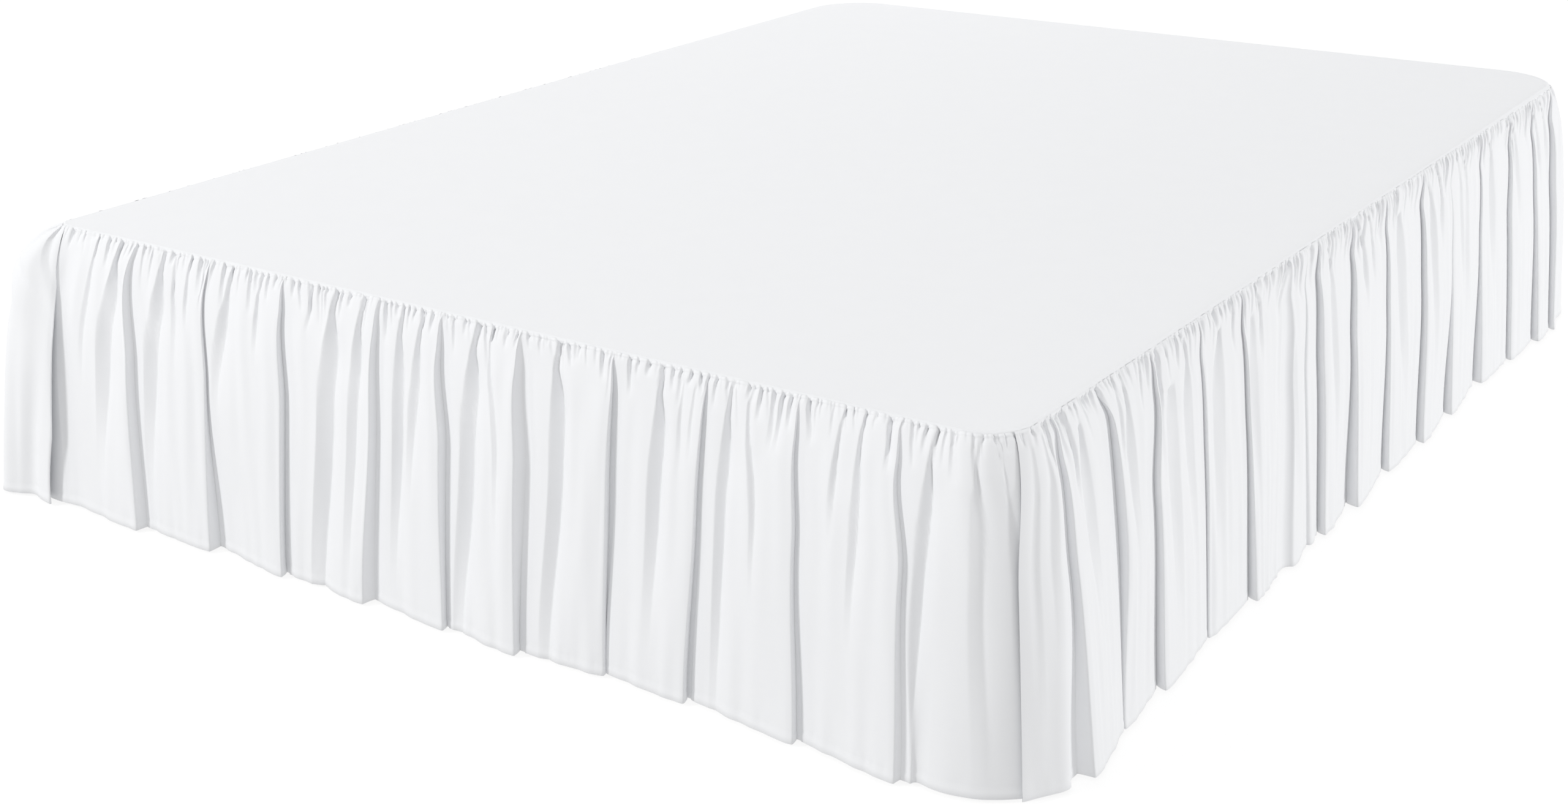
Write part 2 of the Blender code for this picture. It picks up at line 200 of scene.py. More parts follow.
LEFT = BED_CENTRE[0] - BED_WIDTH / 2
RIGHT = BED_CENTRE[0] + BED_WIDTH / 2
FOOT = BED_CENTRE[1] - BED_LENGTH / 2
HEAD = BED_CENTRE[1] + BED_LENGTH / 2
FOOT_EDGE = Edge((LEFT, FOOT), (1, 0), (0, -1), BED_WIDTH, LEFT_FOOT_RADIUS, RIGHT_FOOT_RADIUS)
RIGHT_EDGE = Edge((RIGHT, FOOT), (0, 1), (1, 0), BED_LENGTH, RIGHT_FOOT_RADIUS, HEAD_RADIUS)
HEAD_EDGE = Edge((RIGHT, HEAD), (-1, 0), (0, 1), BED_WIDTH, HEAD_RADIUS, HEAD_RADIUS)
LEFT_EDGE = Edge((LEFT, FOOT), (0, 1), (-1, 0), BED_LENGTH, LEFT_FOOT_RADIUS, HEAD_RADIUS)


def rim_radius(spots):
    """The deck's rim at these places of its outline: softer towards the head."""
    first, last = RIM_SOFTENS
    share = np.clip((spots[..., 1] - FOOT - first) / (last - first), 0.0, 1.0)
    return RIM_RADIUS + (HEAD_RIM_RADIUS - RIM_RADIUS) * share


def woven_sheet(name, points, flat, closed=False, flip=False):
    """A mesh of cloth from a grid of points, with its flat places in metres as its UV map."""
    rows, columns = points.shape[:2]
    number = np.arange(rows * columns).reshape(rows, columns)
    if closed:
        number = np.concatenate([number, number[:, :1]], axis=1)
        flat = np.concatenate([flat, flat[:, :1]], axis=1)
    corners = (number[:-1, :-1], number[1:, :-1], number[1:, 1:], number[:-1, 1:])
    places = (flat[:-1, :-1], flat[1:, :-1], flat[1:, 1:], flat[:-1, 1:])
    if flip:
        corners = corners[::-1]
        places = places[::-1]
    faces = np.stack(corners, axis=-1).reshape(-1, 4)
    mesh = bpy.data.meshes.new(name)
    mesh.from_pydata(points.reshape(-1, 3), [], faces)
    uv = mesh.uv_layers.new(name="flat")
    uv.data.foreach_set("uv", np.stack(places, axis=-2).reshape(-1).astype(np.float32))
    mesh.shade_smooth()
    piece = bpy.data.objects.new(name, mesh)
    bpy.context.scene.collection.objects.link(piece)
    return piece


class Reading:
    """A number that a node gives. Reckoning with it adds Math nodes to its finish."""

    def __init__(self, finish, socket):
        self.finish = finish
        self.socket = socket

    def reckon(self, operation, first, second=0.0):
        return self.finish.node("ShaderNodeMath", {"operation": operation}, {0: first, 1: second})

    def __add__(self, other):
        return self.reckon("ADD", self, other)

    def __radd__(self, other):
        return self.reckon("ADD", other, self)

    def __mul__(self, other):
        return self.reckon("MULTIPLY", self, other)

    def __rmul__(self, other):
        return self.reckon("MULTIPLY", other, self)

    def sine(self):
        return self.reckon("SINE", self)


class Finish:
    """A material and its nodes."""

    def __init__(self, name):
        self.material = bpy.data.materials.new(name)
        self.material.use_nodes = True
        self.nodes = self.material.node_tree.nodes
        self.links = self.material.node_tree.links
        self.shader = self.nodes["Principled BSDF"]

    def fill(self, node, sockets):
        for key, value in sockets.items():
            if isinstance(value, Reading):
                self.links.new(value.socket, node.inputs[key])
            else:
                node.inputs[key].default_value = value

    def node(self, kind, settings, sockets, output=0):
        """A node of this type: its settings are set first, then its sockets' values or links."""
        node = self.nodes.new(kind)
        for key, value in settings.items():
            if key == "stops":
                for stop, (position, colour) in zip(node.color_ramp.elements, value):
                    stop.position = position
                    stop.color = colour
            else:
                setattr(node, key, value)
        self.fill(node, sockets)
        return Reading(self, node.outputs[output])


def cotton_finish(name, crumple_relief):
    """White plain weave: threads over and under, slubs, and the soft crumple of washed cloth."""
    finish = Finish(name)
    flat = finish.node("ShaderNodeUVMap", {"uv_map": "flat"}, {})
    across = finish.node("ShaderNodeSeparateXYZ", {}, {0: flat})
    down = Reading(finish, across.socket.node.outputs[1])
    threads = 2 * math.pi / WEAVE_REPEAT
    weave = (across * threads).sine() * (down * threads).sine()
    slubs = finish.node("ShaderNodeTexNoise", {}, {"Vector": flat, "Scale": 900.0, "Detail": 2.0})
    crumple = finish.node("ShaderNodeTexNoise", {},
                          {"Vector": flat, "Scale": 22.0, "Detail": 3.0, "Roughness": 0.55})
    height = weave * WEAVE_RELIEF + slubs * SLUB_RELIEF + crumple * crumple_relief
    bump = finish.node("ShaderNodeBump", {}, {"Strength": 0.6, "Distance": 1.0, "Height": height})
    # painted shade: the colour darkens a little where the crumple's relief is low, as if shade fell
    # in its hollows
    painted_hollow_shade = [CRUMPLE_PAINTED_SHADE * value for value in COTTON]
    painted_shade_colour = finish.node("ShaderNodeMix", {"data_type": "RGBA"},
                        {0: crumple, 6: (*painted_hollow_shade, 1.0), 7: (*COTTON, 1.0)}, output=2)
    roughness = 0.78 + slubs * 0.12
    finish.fill(finish.shader, {"Base Color": painted_shade_colour, "Roughness": roughness, "Normal": bump,
                                "Specular IOR Level": 0.25, "Sheen Weight": 0.10,
                                "Sheen Roughness": 0.5})
    return finish.material


def rim_places(edge):
    """Even places along one edge, from the middle of its first corner to that of its last."""
    first = edge.start_radius * (1 - math.pi / 4)
    last = edge.length - edge.end_radius * (1 - math.pi / 4)
    return np.linspace(first, last, int((last - first) / RIM_STEP), endpoint=False)


deck_random = np.random.default_rng(DECK_SEED)
rim_parts = []
for edge, backwards in ((FOOT_EDGE, False), (RIGHT_EDGE, False), (HEAD_EDGE, False),
                        (LEFT_EDGE, True)):
    places = rim_places(edge)
    if backwards:
        places = places[::-1]
    rim_parts.append((edge, places))


def ring_at(insets, sink):
    """The rim's line moved inwards by so much at each of its points, and down from the top."""
    first = 0
    parts = []
    for edge, places in rim_parts:
        parts.append(edge.place(places, -insets[first:first + len(places)]))
        first += len(places)
    spots = np.concatenate(parts)
    return np.column_stack([spots, np.full(len(spots), DECK_HEIGHT) - sink])


outline = ring_at(np.zeros(sum(len(places) for edge, places in rim_parts)), 0.0)[:, :2]
radius = rim_radius(outline)
deck_rows = [ring_at(np.full(len(radius), TUCK_INSET), radius + SEAM_TUCK)]
for angle in np.radians(RIM_ANGLES):
    deck_rows.append(ring_at(radius * (1 - math.sin(angle)), radius * (1 - math.cos(angle))))
inner = deck_rows[-1][:, :2]
half_spine = (BED_LENGTH - BED_WIDTH) / 2
spine_y = np.clip(inner[:, 1] - BED_CENTRE[1], -half_spine, half_spine)
spine = np.column_stack([np.full(len(inner), BED_CENTRE[0]),
                         BED_CENTRE[1] + np.round(spine_y / SPINE_STEP) * SPINE_STEP])
for share in INWARDS + (1.0,):
    spots = inner + (spine - inner) * share
    deck_rows.append(np.column_stack([spots, np.full(len(inner), DECK_HEIGHT)]))
deck_points = np.array(deck_rows)
from_rim = np.linalg.norm(deck_points[..., :2] - outline, axis=2)

# the bow of the loose panel, in slow waves, the ridge of the seam's turnings, and the puckers
x = deck_points[..., 0]
y = deck_points[..., 1]
bow = (np.sin(3.1 * x + 1.3 * y + 0.4) * np.sin(2.3 * y - 1.1 * x + 1.0)
       + 0.35 * np.sin(7.0 * x + 2.0 * y) * np.sin(5.0 * y + 0.7))
rise = BOW * (0.9 + bow) * smoothstep(from_rim / BOW_GROWS)
rise += SEAM_RIDGE * np.exp(-((from_rim - radius - RIDGE_WIDTH) / RIDGE_WIDTH) ** 2)
rim_length = np.concatenate([[0.0], np.cumsum(np.linalg.norm(np.diff(outline, axis=0), axis=1))])
pucker_places = np.cumsum(deck_random.uniform(*PUCKER_GAPS, PUCKERS))
pucker_places = pucker_places[pucker_places < rim_length[-1]]
pucker_depths = deck_random.uniform(0.1, 1.0, len(pucker_places)) ** 2
pucker_reaches = deck_random.uniform(0.4, 1.0, len(pucker_places)) * PUCKER_REACH
for place, depth, reach in zip(pucker_places, pucker_depths, pucker_reaches):
    near = np.abs(rim_length - place) < PUCKER_SPREAD
    across = (rim_length[near] - place) / PUCKER_WIDTH
    fade = (np.clip(1.0 - from_rim[:, near] / reach, 0.0, 1.0)
            * smoothstep(from_rim[:, near] / RIM_RADIUS))
    rise[:, near] -= PUCKER_DEPTH * depth * np.exp(-across ** 2) * fade
deck_points[..., 2] += rise

deck_panel = woven_sheet("deck_panel", deck_points, deck_points[..., :2], closed=True, flip=True)
bpy.context.view_layer.objects.active = deck_panel
deck_panel.select_set(True)
bpy.ops.object.mode_set(mode="EDIT")
bpy.ops.mesh.select_all(action="SELECT")
bpy.ops.mesh.remove_doubles(threshold=MERGED_WITHIN)
bpy.ops.object.mode_set(mode="OBJECT")
deck_panel.select_set(False)
deck_panel.data.materials.append(cotton_finish("deck_cotton", DECK_CRUMPLE))
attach(deck_panel, "root")
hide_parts("deck")


# ---- Ruffles ----------------------------------------------------------------------------------
# Three strips of the same cotton, half as long again as the edges they hang from. Each is drawn
# up on a thread into fine gathers, sewn to the deck's rim, and ends in a narrow stitched hem.
# The fullness falls in knife folds, and the side strips lap over the foot strip at its ends.

# The knife folds, one by one. Columns:
#   seam, shoulder,    where the fold's tip stands along the edge, at four heights
#   waist, hem
#   reach              how far the tip stands out from the edge at the hem
#   recess, back       how far behind the tip the next face starts, at the waist and at the hem
#   gap, gap_hem       how far beyond the tip it starts
#   under, under_hem   how far the cloth between them goes back under the fold
#   opens              share of the drop in which the fold opens out of a gather
FOLD = ("seam", "shoulder", "waist", "hem", "reach", "recess", "back", "gap", "gap_hem",
        "under", "under_hem", "opens")
FOOT_FOLDS = (               # along +X from the left foot corner
    (0.172, 0.1665, 0.181, 0.187, 0.074, 0.014, 0.016, 0.006, 0.007, 0.000, -0.002, 0.20),
    (0.322, 0.321, 0.333, 0.328, 0.065, 0.0055, 0.019, 0.001, 0.009, 0.004, 0.001, 0.08),
    (0.462, 0.4675, 0.480, 0.472, 0.068, 0.011, 0.012, 0.004, 0.003, 0.004, 0.007, 0.12),
    (0.631, 0.6345, 0.640, 0.622, 0.067, 0.013, 0.018, 0.006, 0.007, 0.000, -0.004, 0.16),
    (0.739, 0.743, 0.758, 0.761, 0.066, 0.014, 0.010, 0.005, 0.002, 0.001, 0.004, 0.14),
    (0.866, 0.870, 0.881, 0.882, 0.068, 0.017, 0.013, 0.014, 0.007, -0.004, 0.004, 0.16),
    (1.008, 1.0125, 1.012, 1.007, 0.048, 0.011, 0.007, 0.004, -0.003, 0.005, 0.003, 0.12),
    (1.143, 1.1435, 1.142, 1.129, 0.050, 0.008, 0.012, 0.003, 0.003, 0.004, 0.006, 0.10),
    (1.267, 1.2705, 1.280, 1.289, 0.058, 0.008, 0.011, 0.002, 0.005, 0.002, 0.003, 0.14),
    (1.397, 1.402, 1.421, 1.429, 0.067, 0.009, 0.010, 0.004, 0.012, 0.001, -0.002, 0.14),
)
SIDE_FOLDS = (               # along +Y from the foot corner, walked from the head to the foot
    (1.925, 1.885, 1.856, 1.838, 0.078, 0.009, 0.008, 0.004, 0.003, 0.006, 0.007, 0.08),
    (1.818, 1.778, 1.760, 1.762, 0.073, 0.005, 0.011, 0.003, 0.004, 0.005, 0.007, 0.06),
    (1.700, 1.664, 1.640, 1.643, 0.062, 0.0065, 0.007, 0.003, 0.003, 0.005, 0.006, 0.06),
    (1.550, 1.513, 1.496, 1.508, 0.055, 0.003, 0.013, 0.002, 0.004, 0.004, 0.006, 0.10),
    (1.400, 1.363, 1.346, 1.343, 0.060, 0.0003, 0.012, 0.003, 0.003, 0.000, 0.006, 0.50),
    (1.268, 1.235, 1.223, 1.205, 0.062, 0.008, 0.0105, 0.002, 0.003, 0.006, 0.007, 0.10),
    (1.112, 1.087, 1.075, 1.069, 0.056, 0.005, 0.010, 0.002, 0.004, 0.004, 0.007, 0.12),
    (0.983, 0.948, 0.928, 0.921, 0.064, 0.0085, 0.017, 0.003, 0.005, 0.006, 0.008, 0.12),
    (0.850, 0.826, 0.812, 0.806, 0.060, 0.010, 0.011, 0.003, 0.002, 0.006, 0.007, 0.08),
    (0.805, 0.777, 0.757, 0.763, 0.053, 0.0006, 0.0015, 0.006, 0.006, 0.000, -0.001, 0.15),
    (0.752, 0.724, 0.702, 0.687, 0.060, 0.007, 0.008, 0.024, 0.030, -0.008, -0.012, 0.20),
    (0.590, 0.572, 0.563, 0.566, 0.061, 0.006, 0.011, 0.002, 0.002, 0.005, 0.007, 0.06),
    (0.466, 0.451, 0.445, 0.438, 0.052, 0.004, 0.002, 0.002, 0.001, 0.003, 0.002, 0.08),
    (0.332, 0.322, 0.297, 0.286, 0.064, 0.0085, 0.0115, 0.003, 0.002, 0.005, 0.007, 0.08),
    (0.196, 0.211, 0.208, 0.178, 0.064, 0.012, 0.001, 0.004, 0.001, 0.005, 0.000, 0.12),
    (0.092, 0.081, 0.068, 0.064, 0.083, 0.010, 0.0195, 0.004, 0.010, 0.003, -0.003, 0.08),
)

# The strips' ends: places that the cloth runs through before its first fold or after its last.
# The side strips stop past the head corners and lap over the foot strip's ends. Columns:
#   seam, waist, hem   where the place stands along the edge, at three heights
#   reach              how far it stands out from the edge at the hem
#   early, within      share of the reach that the cloth takes early, and within what drop
END = ("seam", "waist", "hem", "reach", "early", "within")
HEAD_END = (
    (2.104, 2.102, 2.100, 0.044, 0.58, 0.22),
    (2.072, 2.070, 2.068, 0.050, 0.58, 0.22),
    (2.040, 2.038, 2.036, 0.054, 0.57, 0.22),
    (2.008, 2.006, 2.004, 0.053, 0.56, 0.22),
    (1.985, 1.974, 1.972, 0.056, 0.55, 0.22),
    (1.960, 1.936, 1.932, 0.063, 0.53, 0.21),
    (1.930, 1.884, 1.880, 0.068, 0.50, 0.20),
)
NEAR_CORNER_END = (
    (0.070, 0.052, 0.046, 0.074, 0.50, 0.20),
    (0.056, 0.040, 0.036, 0.072, 0.50, 0.20),
    (0.042, 0.028, 0.028, 0.070, 0.52, 0.20),
    (0.026, 0.018, 0.0185, 0.070, 0.52, 0.20),
)
LEFT_CORNER_END = (
    (0.130, 0.125, 0.120, 0.072, 0.50, 0.07),
    (0.085, 0.075, 0.060, 0.094, 0.54, 0.07),
    (0.050, 0.040, 0.030, 0.112, 0.54, 0.07),
    (0.022, 0.018, 0.014, 0.131, 0.56, 0.07),
    (0.010, 0.0065, 0.0065, 0.138, 0.56, 0.07),
    (0.001, -0.0005, 0.0035, 0.113, 0.56, 0.09),
    (-0.005, -0.0065, 0.0013, 0.091, 0.58, 0.14),
    (-0.012, -0.0130, -0.0040, 0.085, 0.61, 0.20),
    (-0.014, -0.0178, -0.0090, 0.081, 0.62, 0.22),
    (-0.009, -0.0070, 0.0055, 0.0745, 0.61, 0.22),
)
FOOT_START = (
    (0.024, 0.000, -0.002, 0.090, 0.38, 0.22),
    (0.034, 0.014, 0.010, 0.0755, 0.42, 0.22),
    (0.050, 0.034, 0.026, 0.064, 0.52, 0.22),
    (0.080, 0.064, 0.058, 0.063, 0.62, 0.22),
)
FOOT_END = (
    (1.440, 1.455, 1.450, 0.052, 0.62, 0.22),
    (1.465, 1.480, 1.480, 0.056, 0.62, 0.22),
    (1.485, 1.503, 1.502, 0.062, 0.62, 0.22),
    (1.504, 1.522, 1.524, 0.066, 0.54, 0.22),
    (1.522, 1.538, 1.544, 0.066, 0.48, 0.22),
    (1.533, 1.547, 1.555, 0.060, 0.44, 0.22),
)

# Creases that run down the faces of the folds. Each has a crest, from which a wall drops to the
# crease's bottom, and beyond that the cloth rises slowly again. Columns:
#   seam, waist, hem   where the crest stands along the edge, at three heights
#   width, depth       of the wall
#   starts, ends       shares of the drop
CREASE = ("seam", "waist", "hem", "width", "depth", "starts", "ends")
FOOT_CREASES = (
    (0.093, 0.070, 0.060, 0.007, 0.005, 0.00, 0.60),
    (0.137, 0.110, 0.096, 0.019, 0.016, 0.00, 0.95),
    (0.226, 0.200, 0.190, 0.017, 0.014, 0.00, 0.95),
    (0.252, 0.262, 0.266, 0.007, 0.006, 0.00, 0.42),
    (0.282, 0.292, 0.296, 0.006, 0.006, 0.00, 0.26),
    (0.360, 0.340, 0.332, 0.012, 0.011, 0.00, 0.52),
    (0.419, 0.424, 0.430, 0.007, 0.007, 0.00, 0.30),
    (0.552, 0.540, 0.520, 0.019, 0.017, 0.00, 1.60),
    (0.604, 0.596, 0.586, 0.012, 0.012, 0.00, 1.00),
    (0.670, 0.670, 0.660, 0.011, 0.011, 0.00, 1.00),
    (0.706, 0.698, 0.694, 0.010, 0.010, 0.00, 0.66),
    (0.792, 0.782, 0.770, 0.016, 0.015, 0.00, 1.30),
    (0.818, 0.842, 0.852, 0.007, 0.006, 0.00, 0.75),
    (0.920, 0.922, 0.910, 0.014, 0.014, 0.00, 1.20),
    (1.076, 1.068, 1.064, 0.013, 0.013, 0.00, 0.90),
    (1.109, 1.110, 1.112, 0.006, 0.003, 0.03, 0.34),
    (1.126, 1.124, 1.124, 0.006, 0.003, 0.03, 0.30),
    (1.173, 1.166, 1.160, 0.010, 0.010, 0.00, 1.20),
    (1.199, 1.219, 1.224, 0.006, 0.006, 0.00, 0.65),
    (1.322, 1.320, 1.318, 0.006, 0.006, 0.00, 0.40),
    (1.349, 1.352, 1.356, 0.008, 0.008, 0.00, 0.70),
    (1.436, 1.432, 1.430, 0.010, 0.010, 0.00, 1.00),
    (1.484, 1.484, 1.490, 0.011, 0.006, 0.00, 1.20),
    (1.506, 1.512, 1.516, 0.007, 0.003, 0.02, 0.80),
)
SIDE_CREASES = (
    (1.862, 1.856, 1.854, 0.010, 0.006, 0.00, 0.50),
    (1.812, 1.790, 1.784, 0.008, 0.007, 0.00, 0.36),
    (1.700, 1.684, 1.682, 0.010, 0.006, 0.00, 0.50),
    (1.684, 1.664, 1.662, 0.006, 0.006, 0.00, 0.26),
    (1.580, 1.566, 1.576, 0.014, 0.009, 0.04, 0.70),
    (1.452, 1.430, 1.426, 0.010, 0.006, 0.00, 0.80),
    (1.420, 1.404, 1.396, 0.008, 0.005, 0.02, 0.60),
    (1.330, 1.300, 1.291, 0.008, 0.008, 0.00, 0.34),
    (1.280, 1.270, 1.268, 0.012, 0.007, 0.04, 0.80),
    (1.150, 1.147, 1.165, 0.018, 0.009, 0.08, 0.95),
    (1.036, 1.020, 1.016, 0.007, 0.006, 0.00, 0.30),
    (0.998, 0.982, 0.984, 0.007, 0.008, 0.00, 0.34),
    (0.878, 0.867, 0.865, 0.010, 0.006, 0.03, 0.80),
    (0.722, 0.720, 0.724, 0.012, 0.006, 0.10, 0.90),
    (0.640, 0.610, 0.604, 0.010, 0.009, 0.00, 0.28),
    (0.612, 0.590, 0.576, 0.014, 0.007, 0.08, 0.80),
    (0.516, 0.495, 0.470, 0.020, 0.010, 0.06, 0.85),
    (0.420, 0.412, 0.404, 0.014, 0.009, 0.02, 0.75),
    (0.374, 0.360, 0.350, 0.020, 0.010, 0.12, 1.00),
    (0.340, 0.330, 0.326, 0.008, 0.006, 0.02, 0.40),
    (0.256, 0.250, 0.250, 0.012, 0.009, 0.00, 0.60),
    (0.236, 0.224, 0.222, 0.006, 0.006, 0.00, 0.30),
    (0.144, 0.140, 0.136, 0.016, 0.010, 0.06, 0.75),
    (0.120, 0.110, 0.108, 0.007, 0.009, 0.00, 0.28),
    (0.062, 0.050, 0.045, 0.007, 0.004, 0.02, 0.70),
    (0.044, 0.034, 0.033, 0.005, 0.003, 0.00, 0.90),
)
LEFT_CORNER_CREASES = (      # the left strip has these, where it wraps, for the last two
    (0.036, 0.012, 0.010, 0.010, 0.007, 0.00, 0.55),
    (0.018, -0.006, -0.010, 0.009, 0.007, 0.00, 0.45),
    (-0.001, -0.017, -0.018, 0.007, 0.004, 0.00, 0.35),
)

HEM_HEIGHT = 0.005           # the hem hangs just clear of the floor
SEAM_OVERLAP = 0.0026        # how far the ruffles are caught up over the deck's rim
SHOULDER_HEIGHT = 0.12       # the height of the folds' shoulder column, as a share of the drop
WAIST = 0.40                 # the height of the tables' waist column
FOOT_FLARE = (0.62, 0.22)    # share of the reach that folds take early, and within what drop
SIDE_FLARE = (0.45, 0.20)
SEAM_STEP = 0.003            # tip to valley at the seam, where a fold is only a gather
TURN = 0.007                 # roundness of a fold's tip at the hem
TURN_GROWS = 0.35            # share of the drop in which it gets so round
TURN_FADE = 0.012            # metres of face beside a turn in which its relief fades
TURNS_CLEAR = 0.12           # share of the drop below which the turns carry no relief
POCKET_GROWS = 0.10          # share of the drop in which the pockets get their depth
HOLLOW = 0.28                # how much deeper the cloth lies in them, as a share of under
LEAST_HOLLOW = 0.0006
ROLL = 0.005                 # roundness of the next face's start
COLUMN_STEP = 0.00115        # between a strip's points along it, near the foot
COLUMN_GROWTH = 0.0006       # how much that grows for each metre away from it
RETURN_COLUMNS = 10          # from a fold's tip back under it
FLOOR_COLUMNS = 12           # and on to the next face
SHOULDER_POP = 0.0035        # how far the gathers spring out from the seam
POP_DROP = 0.0035            # metres of drop in which they do it
POP_FADES = 0.090            # metres of drop in which the folds below take it up
DROP_STEPS = ((0.0, 0.004, 0.0010), (0.004, 0.020, 0.0020), (0.020, 0.060, 0.0040),
              (0.060, 0.102, 0.0070), (0.102, 0.368, 0.0140),
              (0.368, 0.396, 0.0040))    # metres down: from, to, between
CREASE_NARROWEST = 0.004     # the wall of a crease at the seam
GATHER = ("pitch", "wall", "depth", "shortest", "longest")
GATHERS = (                  # the drawn-up gathers, and the fine puckers between them
    (0.0120, 0.0034, 0.0085, 0.018, 0.066),
    (0.0062, 0.0024, 0.0036, 0.006, 0.020),
)
GATHER_EVENNESS = 6.0        # of their spacing
GATHER_SPARE = 1.4           # how many more are drawn than the seam has room for
GATHER_LEAN = 0.08
GATHER_SPREAD = 0.06         # how much wider a gather grows, as a share of the way down
GATHER_FELT = 0.040          # along the seam, beyond which nothing of one shows
GATHER_PUSH = 0.65           # how far a crest leans over its crease, as a share of its wall
DRIFT = 0.00030              # soft unevenness of the faces
DRIFT_WAVES = 14
DRIFT_LENGTHS = (0.016, 0.060)
DRIFT_SEED = 50              # added to a strip's own
SEAM_ROLL = 0.0012           # how far the rolled seam stands out above the gathers
SEAM_ROLL_PLACE = 0.0015     # below the top
SEAM_ROLL_WIDTH = 0.0014
HEM_DEPTH = 0.011            # from the hem's edge up to its stitching
HEM_THICKNESS = 0.0005       # how far its doubled cloth stands out
STITCH_DEPTH = 0.0005
STITCH_WIDTH = 0.0016
HEM_PUCKER = 0.0006          # the puckers that the stitching draws
HEM_PUCKER_STEP = 0.013
HEM_PUCKER_WIDTH = 0.004
HEM_PUCKER_PLACE = 0.965     # share of the drop
HEM_TURN = 0.0011            # the hem's turned edge, from front to back
HEM_INSIDE = 0.006           # and how far up its inside is built
RUFFLE_CRUMPLE = 0.0008


def flare(drop, early, within):
    """Share of the reach at this drop: quick over the shoulder, then a steady slope."""
    return early * (1.0 - np.exp(-drop / within)) + (1.0 - early) * drop


def standing(row, drop):
    """Where a row of a table stands along the edge at these drops, between its heights."""
    places = [(0.0, row["seam"]), (WAIST, row["waist"]), (1.0, row["hem"])]
    if "shoulder" in row:
        places.insert(1, (SHOULDER_HEIGHT, row["shoulder"]))
    stands = np.full_like(drop, row["seam"])
    for (high, above), (low, below) in zip(places, places[1:]):
        stands = stands + (below - above) * smoothstep((drop - high) / (low - high))
    return stands


def even_share(count):
    """Even shares of a length, and where they lie on a curve that slows down at both ends."""
    shares = np.linspace(0.0, 1.0, count, endpoint=False)
    return shares, 0.75 * (0.5 - np.sin(np.arcsin(1.0 - 2.0 * shares) / 3.0)) + 0.25 * shares


def bend(first, first_pull, last_pull, last, count):
    """Points of a bend between two places at every row: (rows, count, 2), and their shares."""
    shares, t = even_share(count)
    t = t[None, :, None]
    parts = ((first, (1 - t) ** 3), (first + first_pull, 3 * (1 - t) ** 2 * t),
             (last + last_pull, 3 * (1 - t) * t ** 2), (last, t ** 3))
    return sum(place[:, None, :] * part for place, part in parts), shares


def end_places(rows, drop):
    """The places of a strip's end at every row, as along and out."""
    places = []
    for row in rows:
        place = dict(zip(END, row))
        out = place["reach"] * flare(drop, place["early"], place["within"])
        places.append(np.column_stack([standing(place, drop), out]))
    return places


def strip_section(start, folds, end, walk, drop, fold_flare):
    """The strip's line at every row, (rows, columns, 2) as along and out, and how far each
    column lies from the nearest turn, as a share that is 1 on the open faces."""
    depth = 1.0 - np.exp(-drop / POCKET_GROWS)
    turn = np.column_stack([np.zeros_like(drop), TURN * smoothstep(drop / TURN_GROWS)])
    shape = flare(drop, *fold_flare)
    pieces = []
    openness = []

    def run(places, first_pull, last_pull):
        """A smooth line through several places, with given pulls at its two ends."""
        for index in range(len(places) - 1):
            before = places[index]
            after = places[index + 1]
            if index == 0:
                out_pull = first_pull if first_pull is not None else (after - before) / 3
            else:
                out_pull = (after - places[index - 1]) / 6
            if index == len(places) - 2:
                in_pull = last_pull if last_pull is not None else (before - after) / 3
            else:
                in_pull = (before - places[index + 2]) / 6
            length = float(np.linalg.norm(after - before, axis=1).mean())
            away = 0.0 if walk > 0 else float(before[0, 0])
            count = max(3, int(round(length / (COLUMN_STEP + COLUMN_GROWTH * away))))
            points, shares = bend(before, out_pull, in_pull, after, count)
            pieces.append(points)
            from_turns = np.ones(count)
            if first_pull is not None and index == 0:
                from_turns *= smoothstep(shares * length / TURN_FADE)
            if last_pull is not None and index == len(places) - 2:
                from_turns *= smoothstep((1 - shares) * length / TURN_FADE)
            openness.append(from_turns)

    places = end_places(start, drop)
    pull = None
    for row in folds:
        fold = dict(zip(FOLD, row))
        along = standing(fold, drop)
        tip = np.column_stack([along, fold["reach"] * shape])
        run(places + [tip], pull, turn)
        opened = 1.0 - np.exp(-2.5 * (drop / fold["opens"]) ** 1.2)
        lower = smoothstep((drop - WAIST) / (1.0 - WAIST))
        under = fold["under"] + (fold["under_hem"] - fold["under"]) * lower
        gap = fold["gap"] + (fold["gap_hem"] - fold["gap"]) * lower
        back = (fold["recess"] + (fold["back"] - fold["recess"]) * lower) * depth
        deep = back + (HOLLOW * np.maximum(under, 0.0) + LEAST_HOLLOW) * depth
        behind = 0.5 * SEAM_STEP * (1.0 - opened) - under * opened
        ahead = SEAM_STEP * (1.0 - opened) + gap * opened
        valley = tip + np.column_stack([walk * behind, -deep])
        brow = tip + np.column_stack([walk * ahead, -back])

        # from the tip back to the valley under it, then on to the brow, where the next face starts
        inwards = np.column_stack([0.10 * walk * behind, -0.35 * deep])
        entering = np.column_stack([-0.50 * walk * behind, 0.10 * deep])
        points, shares = bend(tip, inwards, entering, valley, RETURN_COLUMNS)
        pieces.append(points)
        openness.append(np.zeros(RETURN_COLUMNS))
        level = np.column_stack([0.6 * walk * (ahead - behind), np.zeros_like(drop)])
        below = np.column_stack([np.zeros_like(drop), back - deep])
        points, shares = bend(valley, level, below, brow, FLOOR_COLUMNS)
        pieces.append(points)
        openness.append(np.zeros(FLOOR_COLUMNS))
        forwards = np.column_stack([walk * ROLL * opened, 0.3 * ROLL * opened])
        places = [brow]
        pull = forwards
    places += end_places(end, drop)
    run(places, pull, None)
    pieces.append(places[-1][:, None, :])
    openness.append(np.ones(1))
    return np.concatenate(pieces, axis=1), np.concatenate(openness)


def drop_rows(height):
    """Where a strip's rows of points lie, as shares of its drop: closest at the seam and hem."""
    rows = [np.arange(first, last - 0.3 * step, step) for first, last, step in DROP_STEPS]
    return np.concatenate(rows + [[height]]) / height


